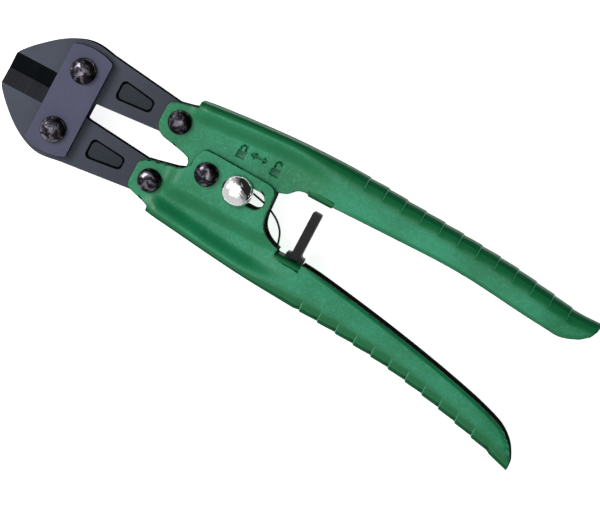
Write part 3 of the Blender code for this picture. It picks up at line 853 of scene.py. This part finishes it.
def mark_paint(obj, spine_line, tab_edge, scallops):
    """Mark painted shade on the sheet's inner faces, along the spine and over the stop tab, and
    painted highlights at the grip's notch lines.
    """
    for name in ("interior_shade", "band", "notch"):
        obj.data.attributes.new(name, 'FLOAT', 'POINT')
    shaded_inner, band, notch_highlights = (obj.data.attributes[name].data for name in (
        "interior_shade", "band", "notch"))
    first, pitch, count = scallops[:3]
    side = 1 if tab_edge > 0 else -1
    for k, vertex in enumerate(obj.data.vertices):
        x, y, z = (c / MM for c in vertex.co)
        inward = side * (height_at(spine_line, x) - y)
        grip = grip_share(x)
        round_width = spine_round(x)
        raised = raised_area(x, y) if side < 0 else 0.0
        below = flange_height(x, max(inward, round_width), round_width, raised) - abs(z - MIDDLE)
        depth = min(below, inward) if inward < round_width + 1.5 else below
        on_tab = TAB_X[0] - 0.6 < x < TAB_X[1] + 0.2 and -0.2 < side * (y - tab_edge) < FOLD
        # Shade painted near black on the sheet's inner faces, but not on the tab.
        shaded_inner[k].value = 0.0 if on_tab else ease((depth - 1.15) / 0.35)
        # Painted shade along the rounded spine, wider along the grips, and over the whole tab.
        deep = 1 - ease((inward - 1.2 - 1.6 * grip) / (1.2 + 2.2 * grip))
        band[k].value = 1.0 if on_tab else deep
        # Painted highlight: a pale line at each grip notch, fading inward from the spine.
        along = (x - first) / pitch
        if -0.01 < along < count:
            near = 1 - abs(along - round(along) - 0.035) / 0.035
            notch_highlights[k].value = max(0.0, near) * (1 - ease((inward - 3.2) / 0.8))


def make_upper_handle():
    obj = handle_sheet("upper_handle_shell", UPPER_SPINE, UPPER_GRIP_EDGE, upper_reach,
                       lambda x, y: 0.0, UPPER_SCALLOPS)
    combine(obj, through_plate("upper_plan", upper_outline()), 'INTERSECT')
    stop_tab(obj, "upper_tab", TAB_LOW_UPPER, 1)
    hole(obj, "upper_pivot_hole", PIVOT, PIVOT_SHANK + RUNNING)
    hole(obj, "upper_lug_hole", LUG, LUG_SHANK + RUNNING)
    padlock(obj, "shut", *SHUT_SIGN, False)
    double_arrow(obj, "arrow", *ARROW_X, ARROW_Y)
    padlock(obj, "open", *OPEN_SIGN, True)
    return obj


def make_lower_handle():
    obj = handle_sheet("lower_handle_shell", LOWER_SPINE, LOWER_GRIP_EDGE, lower_reach,
                       raised_area, LOWER_SCALLOPS)
    combine(obj, through_plate("lower_plan", lower_outline()), 'INTERSECT')
    stop_tab(obj, "lower_tab", TAB_TOP_LOWER, -1)
    hole(obj, "lower_pivot_hole", PIVOT, PIVOT_SHANK + RUNNING)
    hole(obj, "lower_lug_hole", (LUG[0], -LUG[1]), LUG_SHANK + RUNNING)
    outline = arc((LOCK_REST + LOCK_OUT, 0), SLOT_HALF, -90, 90, 24)
    outline += arc((LOCK_REST + LOCK_IN, 0), SLOT_HALF, 90, 270, 24)
    combine(obj, through_plate("lock_slot", outline))
    return obj


def weigh_edges(mesh):
    """Choose the crisp edges for the bevel: all but those of the pressed signs."""
    chosen = mesh.attributes.new("bevel_weight_edge", 'FLOAT', 'EDGE').data
    low_x, high_x = SHUT_SIGN[0] - 2.0, OPEN_SIGN[0] + 2.0
    low_y, high_y = SHUT_SIGN[1] - 2.6, OPEN_SIGN[1] + 3.3
    work = bmesh.new()
    work.from_mesh(mesh)
    for k, edge in enumerate(work.edges):
        x, y, z = (edge.verts[0].co + edge.verts[1].co) / 2 / MM
        on_signs = low_x < x < high_x and low_y < y < high_y and z > MIDDLE
        crisp = len(edge.link_faces) == 2 and edge.calc_face_angle() > math.radians(CRISP_ANGLE)
        chosen[k].value = 1.0 if crisp and not on_signs else 0.0
    work.free()


def finish_handle(obj, spine_line, tab_edge, scallops, node):
    """Break the handle's edges and fit it; the broken edge stays on the sheet."""
    weld = obj.modifiers.new("weld", 'WELD')
    weld.merge_threshold = 0.00003
    plain = settled(obj, HANDLE_SHARP)
    surface = BVHTree.FromObject(plain, bpy.context.evaluated_depsgraph_get())
    weigh_edges(plain.data)
    edges = bevel(plain, HANDLE_EDGE, 2)
    edges.limit_method = 'WEIGHT'
    edges.use_clamp_overlap = False
    done = settled(plain, HANDLE_SHARP)
    for vertex in done.data.vertices:
        nearest = surface.find_nearest(vertex.co)
        if nearest[3] > SNAP * MM:
            vertex.co = nearest[0]
    # Steep walls take the green painted darker as shade.
    edge_material(done, PAINT_WALL, WALL_SHADE_GREEN)
    mark_paint(done, spine_line, tab_edge, scallops)
    fit(done, node, "green_paint", node)


# ---------------------------------------------------------------- jaws and link plates

def jaw_outline():
    """Plan of the upper jaw: blade, shoulder, tail and the eye round the lug rivet."""
    nose = curve_through([
        (-73.6, 5.4), (-72.4, 7.3), (-69.3, 10.7), (-64.4, 15.0), (-59.9, 17.9),
        (-55.0, 19.9), (-50.5, 20.3), (-45.0, 19.4)])
    eye = arc(LUG, 5.2, 82, -90, 20)
    inner = [(-20.5, 4.8), (-42.3, 2.9), (-46.5, 1.7), (-52.0, 0.7), (-58.3, 0.3),
             (-58.7, 0.02), (-73.8, 0.02)]
    return nose + eye + inner


def jaw_bevel(name, side, face):
    """Wedge that grinds the cutting edge, from one face of the blade."""
    width = 5.9 if side > 0 else 5.3
    start = 0.15
    half_left = 0.3
    rise = (JAW_HALF - half_left) / (width - start)
    before = 2
    beyond = 1.2
    top = 2 * JAW_HALF
    section = [(start - before, half_left - before * rise),
               (width + beyond, JAW_HALF + beyond * rise), (width + beyond, top),
               (start - before, top)]
    ground = GROUND_UPPER_SHADE if side > 0 else GROUND_LOWER
    return slab_across(name, [(side * y, face * z) for y, z in section], *BEVEL_X, ground)


def pocket_cutter(name, side, face):
    """A pressed pocket with drafted walls; walls and floor take steel painted darker as shade."""
    depth = 0.75
    draft = 0.75
    mesh = bpy.data.meshes.new(name)
    work = bmesh.new()
    loops = []
    for inset, height in ((-0.2, JAW_HALF + 0.3), (draft, JAW_HALF - depth)):
        outline = rounded([
            (-38.7 + inset, 7.1 + inset, 1.6), (-25.8 - inset, 8.2 + inset, 1.6),
            (-25.8 - inset, 12.8 - inset, 1.6), (-38.7 + inset, 14.5 - inset, 1.6)], 6)
        loops.append([work.verts.new((x * MM, side * y * MM, face * height * MM))
                      for x, y in outline])
    count = len(loops[0])
    for k in range(count):
        after = (k + 1) % count
        work.faces.new((loops[0][k], loops[0][after], loops[1][after], loops[1][k]))
    floor = work.faces.new(loops[1])
    floor.material_index = 1
    work.faces.new(list(reversed(loops[0])))
    bmesh.ops.recalc_face_normals(work, faces=work.faces)
    work.to_mesh(mesh)
    work.free()
    # Walls take near black painted as shade, the floor the steel painted darker as shade.
    mesh.materials.append(BLACK_WALL_SHADE)
    mesh.materials.append(POCKET_SHADE)
    obj = link(bpy.data.objects.new(name, mesh))
    obj.location.z = MIDDLE * MM
    return obj


def make_jaw(name, side):
    outline = jaw_outline() if side > 0 else flipped(jaw_outline())
    obj = plate(name + "_blade", outline, -JAW_HALF, JAW_HALF, BLACK)
    for face in (1, -1):
        combine(obj, jaw_bevel(f"{name}_bevel_{face}", side, face))
        combine(obj, pocket_cutter(f"{name}_pocket_{face}", side, face))
    hole(obj, f"{name}_link_hole", (LINK[0], side * LINK[1]), LINK_SHANK + RUNNING)
    hole(obj, f"{name}_lug_hole", (LUG[0], side * LUG[1]), LUG_SHANK + RUNNING)
    bevel(obj, 0.28, 2)
    # Steep walls take near black painted as shade.
    done = edge_material(settled(obj, 30.0), STEEL_WALL, BLACK_WALL_SHADE)
    fit(done, name, "black_steel", name)


def link_outline():
    crest = curve_through([(-57.9, 17.4), (-55.2, 18.3), (-51.2, 18.7), (-47.0, 18.2),
                           (-44.1, 17.2)])
    return [(-58.4, 16.9)] + crest + [(-43.6, 16.6), (-43.6, -16.6)] + list(
        reversed(flipped(crest))) + [(-58.4, -16.9)]


def make_link_plate(name, side):
    low, high = sorted((side * LINK_IN, side * LINK_OUT))
    obj = plate(name + "_steel", link_outline(), low, high, GREY)
    for half in (1, -1):
        hole(obj, f"{name}_hole_{half}", (LINK[0], half * LINK[1]), LINK_SHANK + RUNNING)
    bevel(obj, 0.45, 3, 40.0)
    # Steep walls take near black painted as shade.
    done = edge_material(settled(obj), STEEL_WALL, BLACK_WALL_SHADE)
    fit(done, "link_plates", "grey_steel", name)


# ---------------------------------------------------------------- rivets and washers

def rivet_profile(head, crown, shank, front, rear):
    """Domed head in front of the plates, shank through them, flat formed head behind."""
    seat = front + GAP
    rim = 0.6
    dome = []
    for k in range(19):
        a = math.radians(90 * k / 18)
        dome.append((head * math.sin(a), seat + rim + (crown - rim) * math.cos(a)))
    tail = rear - 2 * GAP - WASHER
    edge = 0.15
    return dome + [(head, seat + edge), (head - edge, seat), (shank, seat), (shank, tail),
                   (head - 0.5 - edge, tail), (head - 0.5, tail - edge),
                   (head - 0.55, tail - 0.5 * REAR_HEAD), (head - 0.8, tail - REAR_HEAD),
                   (0, tail - REAR_HEAD)]


def ring_profile(inner, outer, high, low, edge=0.12):
    """Section of a flat ring with broken edges."""
    return [(inner, high - edge), (inner + edge, high), (outer - edge, high),
            (outer, high - edge), (outer, low + edge), (outer - edge, low),
            (inner + edge, low), (inner, low + edge), (inner, high - edge)]


def make_rivet(name, centre, head, crown, shank, level, body):
    profile = rivet_profile(head, crown, shank, level, -level)
    obj = turned(name + "_dome", profile, centre, RIVET)
    # The rim takes near black painted as shade.
    fit(edge_material(settled(obj), RIVET_WALL, BLACK_WALL_SHADE), body, "rivet_steel", name)
    top = -level - GAP
    node = name.replace("rivet", "washer")
    profile = ring_profile(shank + RUNNING, head + 0.15, top, top - WASHER)
    washer = turned(node + "_ring", profile, centre, ZINC)
    fit(settled(washer), body, "washer_steel", node)


def make_rivets():
    for word, side in (("upper", 1), ("lower", -1)):
        make_rivet(f"{word}_link_rivet", (LINK[0], side * LINK[1]), LINK_HEAD, 2.6,
                   LINK_SHANK, LINK_OUT, "link_plates")
        make_rivet(f"{word}_lug_rivet", (LUG[0], side * LUG[1]), LUG_HEAD, 2.4,
                   LUG_SHANK, PLATE_TOP, f"{word}_handle")
    make_rivet("pivot_rivet", PIVOT, PIVOT_HEAD, 2.4, PIVOT_SHANK, CROWN_TOP, "lower_handle")


# ---------------------------------------------------------------- spring

def make_spring_bush():
    inner = PIVOT_SHANK + RUNNING
    outer = COIL_RADIUS - WIRE - 0.35
    top = PLATE_TOP - SHEET - GAP
    obj = turned("spring_bush_tube", ring_profile(inner, outer, top, -top), PIVOT, ZINC)
    fit(settled(obj), "lower_handle", "washer_steel", "spring_bush")


def make_torsion_spring():
    """Round wire: the upper handle's leg, the coil, and the lower handle's leg."""
    first = -28.0
    last = 77.2 - 360.0 * COIL_TURNS
    leg_in = curve_through([(23.0, 19.4), (18.0, 18.6), (14.6, 16.6), (12.2, 13.6),
                            (10.4, 10.6), (7.0, 4.3), (5.2, 0.9)], 3)
    path = [(x, y, COIL_HALF) for x, y in leg_in]
    steps = int((first - last) / 10)
    for k in range(steps + 1):
        a = math.radians(first + (last - first) * k / steps)
        z = COIL_HALF * (1 - 2 * k / steps)
        path.append((COIL_RADIUS * math.cos(a), COIL_RADIUS * math.sin(a), z))
    leg_out = curve_through([
        (9.0, 2.3), (16.8, 0.5), (21.2, -0.55), (24.2, -1.9), (26.9, -3.6), (29.3, -6.3),
        (30.6, -10.0), (31.4, -14.0), (33.4, -17.6), (37.5, -19.6), (42.0, -20.4)], 4)
    path += [(x, y, -COIL_HALF) for x, y in leg_out]
    curve = bpy.data.curves.new("torsion_spring_wire", 'CURVE')
    curve.dimensions = '3D'
    curve.bevel_depth = WIRE * MM
    curve.bevel_resolution = 4
    curve.use_fill_caps = True
    spline = curve.splines.new('POLY')
    spline.points.add(len(path) - 1)
    for point, (x, y, z) in zip(spline.points, path):
        point.co = (x * MM, y * MM, z * MM, 1)
    obj = bpy.data.objects.new("torsion_spring_wire", curve)
    obj.location.z = MIDDLE * MM
    done = settled(curve_to_mesh(obj, SPRING), 60.0)
    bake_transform(done)
    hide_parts("torsion_spring")


# ---------------------------------------------------------------- lock

def make_lock():
    centre = (LOCK_REST, 0.0)
    seat = CROWN_TOP + GAP
    radius = 5.3
    dome = []
    for k in range(25):
        a = math.radians(90 * k / 24)
        dome.append((radius * math.sin(a), seat + 0.5 + 3.0 * math.cos(a)))
    socket_top = seat + 2.4
    button = dome + [(radius, seat + 0.12), (radius - 0.12, seat), (4.4, seat),
                     (4.3, seat + 0.1), (4.3, seat + 1.1), (1.9, seat + 1.1),
                     (1.9, socket_top), (0, socket_top)]
    obj = turned("lock_button_dome", button, centre, CHROME, 96)
    fit(settled(obj), "lock", "chrome", "lock_button")

    neck_low = PLATE_TOP + GAP
    neck_high = seat + 0.2
    stud = [(0, socket_top - GAP), (1.5, socket_top - GAP), (1.6, socket_top - GAP - 0.1),
            (1.6, neck_high), (LOCK_NECK - 0.1, neck_high), (LOCK_NECK, neck_high - 0.1),
            (LOCK_NECK, neck_low + 0.1), (LOCK_NECK - 0.1, neck_low),
            (LOCK_CATCH, neck_low), (LOCK_CATCH, 2.4), (1.7, 2.4), (1.8, 2.3), (1.5, 1.8),
            (0, 1.8)]
    obj = turned("lock_stud_steel", stud, centre, ZINC)
    fit(settled(obj), "lock", "washer_steel", "lock_stud")

    obj = turned("lock_keeper_ring", ring_profile(LOCK_CATCH + RUNNING, 3.5, 3.4, 2.7), centre,
                 ZINC)
    fit(settled(obj), "lock", "washer_steel", "lock_keeper_washer")

    obj = turned("lock_wave_ring", ring_profile(3.0, 4.0, seat + 0.35, seat + 0.05, 0.06),
                 centre, SPRING)
    fit(settled(obj), "lock", "spring_steel", "lock_wave_washer")


# ---------------------------------------------------------------- stop

def make_stop():
    foot = TAB_TOP_LOWER + GAP
    low, high = STOP_X
    post = plate("stop_post_block", rounded([
        (low - 1.6, foot, 0.0), (high + 1.6, foot, 0.0), (high + 1.6, foot + 1.6, 0.5),
        (high, foot + 1.6, 0.8), (high, STOP_TOP, 0.6), (low, STOP_TOP, 0.6),
        (low, foot + 1.6, 0.8), (low - 1.6, foot + 1.6, 0.5)]), -3.2, 3.2, NYLON)
    fit(settled(post), "lower_handle", "black_nylon", "stop_post")

    middle = (low + high) / 2
    under = TAB_TOP_LOWER - FOLD - GAP
    screw = turned("stop_screw_head", [
        (0, foot + 3.6), (0.8, foot + 3.6), (0.9, foot + 3.5), (0.9, under), (2.1, under),
        (2.2, under - 0.1), (2.2, under - 0.6), (1.9, under - 1.0), (1.2, under - 1.2),
        (0, under - 1.2)], (0, 0), RIVET, 40)
    screw.rotation_euler.x = -math.pi / 2
    screw.location = (middle * MM, 0, MIDDLE * MM)
    fit(settled(screw), "lower_handle", "rivet_steel", "stop_screw")


# ---------------------------------------------------------------- floor, light and camera

AXIS_DROP = math.radians(28.2)      # the tool's axis falls this far from left to right
LEAN = (math.radians(2.5), math.radians(5.5))   # the camera leans over +X and +Y
DISTANCE = 2000.0
VIEW_WIDTH = 194.9                  # millimetres across the picture, at the tool's front face
TARGET = Vector((38.77, -8.33, MIDDLE + PLATE_TOP + 1))
RIGHT = Vector((math.cos(AXIS_DROP), math.sin(AXIS_DROP), 0))
UP = Vector((-math.sin(AXIS_DROP), math.cos(AXIS_DROP), 0))


def make_camera():
    back = Vector((math.tan(LEAN[0]), math.tan(LEAN[1]), 1)).normalized()
    right = (RIGHT - RIGHT.dot(back) * back).normalized()
    up = back.cross(right)
    data = bpy.data.cameras.new("photo_camera")
    data.sensor_width = 36.0
    data.lens = data.sensor_width * DISTANCE / VIEW_WIDTH
    data.clip_start = 0.01
    camera = link(bpy.data.objects.new("photo_camera", data))
    place = Matrix((right, up, back)).transposed().to_4x4()
    place.translation = (TARGET + back * DISTANCE) * MM
    camera.matrix_world = place
    bpy.context.scene.camera = camera


def make_area_light(name, toward, distance, size, radiance):
    """A soft box, aimed at the tool: toward is (right, up, out of the picture)."""
    direction = (RIGHT * toward[0] + UP * toward[1] + Vector((0, 0, toward[2]))).normalized()
    data = bpy.data.lights.new(name, 'AREA')
    data.shape = 'RECTANGLE'
    data.size, data.size_y = size
    data.energy = radiance * math.pi * size[0] * size[1]
    lamp = link(bpy.data.objects.new(name, data))
    lamp.location = TARGET * MM + direction * distance
    lamp.rotation_euler = direction.to_track_quat('Z', 'Y').to_euler()


def make_floor():
    mesh = bpy.data.meshes.new("floor")
    work = bmesh.new()
    bmesh.ops.create_grid(work, x_segments=4, y_segments=4, size=3.0)
    work.to_mesh(mesh)
    work.free()
    s = Shader("pale_floor").fixed(Roughness=0.7, Emission_Strength=0.8)
    s.colour(s.mix(s.ramp(s.noise(3.0), 0.3, 0.7), (0.86, 0.86, 0.86), (0.88, 0.88, 0.88)))
    s.shader.inputs["Emission Color"].default_value = (1.0, 1.0, 1.0, 1.0)
    mesh.materials.append(s.material)
    link(bpy.data.objects.new("floor", mesh))


def make_world():
    world = bpy.data.worlds.new("studio")
    world.use_nodes = True
    background = world.node_tree.nodes["Background"]
    background.inputs["Color"].default_value = (1.0, 1.0, 1.0, 1.0)
    tree = world.node_tree
    direction = tree.nodes.new("ShaderNodeTexCoord").outputs["Generated"]
    toward = tree.nodes.new("ShaderNodeVectorMath")
    toward.operation = 'DOT_PRODUCT'
    toward.inputs[1].default_value = -(RIGHT + UP * 0.4).normalized()
    level = tree.nodes.new("ShaderNodeMapRange")
    level.inputs["From Min"].default_value = -0.45
    level.inputs["From Max"].default_value = 0.15
    level.inputs["To Min"].default_value = 0.02
    level.inputs["To Max"].default_value = 0.72
    tree.links.new(direction, toward.inputs[0])
    tree.links.new(toward.outputs["Value"], level.inputs["Value"])
    tree.links.new(level.outputs["Result"], background.inputs["Strength"])
    bpy.context.scene.world = world


def make_studio():
    make_camera()
    make_world()
    make_floor()
    make_area_light("overhead", (-0.20, 0.05, 1.0), 0.95, (0.95, 0.75), 0.95)
    make_area_light("left", (-0.75, 0.60, 1.0), 0.8, (0.34, 0.30), 8.5)
    bpy.context.scene.view_settings.view_transform = 'Standard'


make_studio()
finish_handle(make_upper_handle(), UPPER_SPINE, TAB_LOW_UPPER, UPPER_SCALLOPS, "upper_handle")
finish_handle(make_lower_handle(), LOWER_SPINE, TAB_TOP_LOWER, LOWER_SCALLOPS, "lower_handle")
make_jaw("upper_jaw", 1)
make_jaw("lower_jaw", -1)
make_link_plate("front_link_plate", 1)
make_link_plate("rear_link_plate", -1)
make_rivets()
make_spring_bush()
make_torsion_spring()
make_lock()
make_stop()
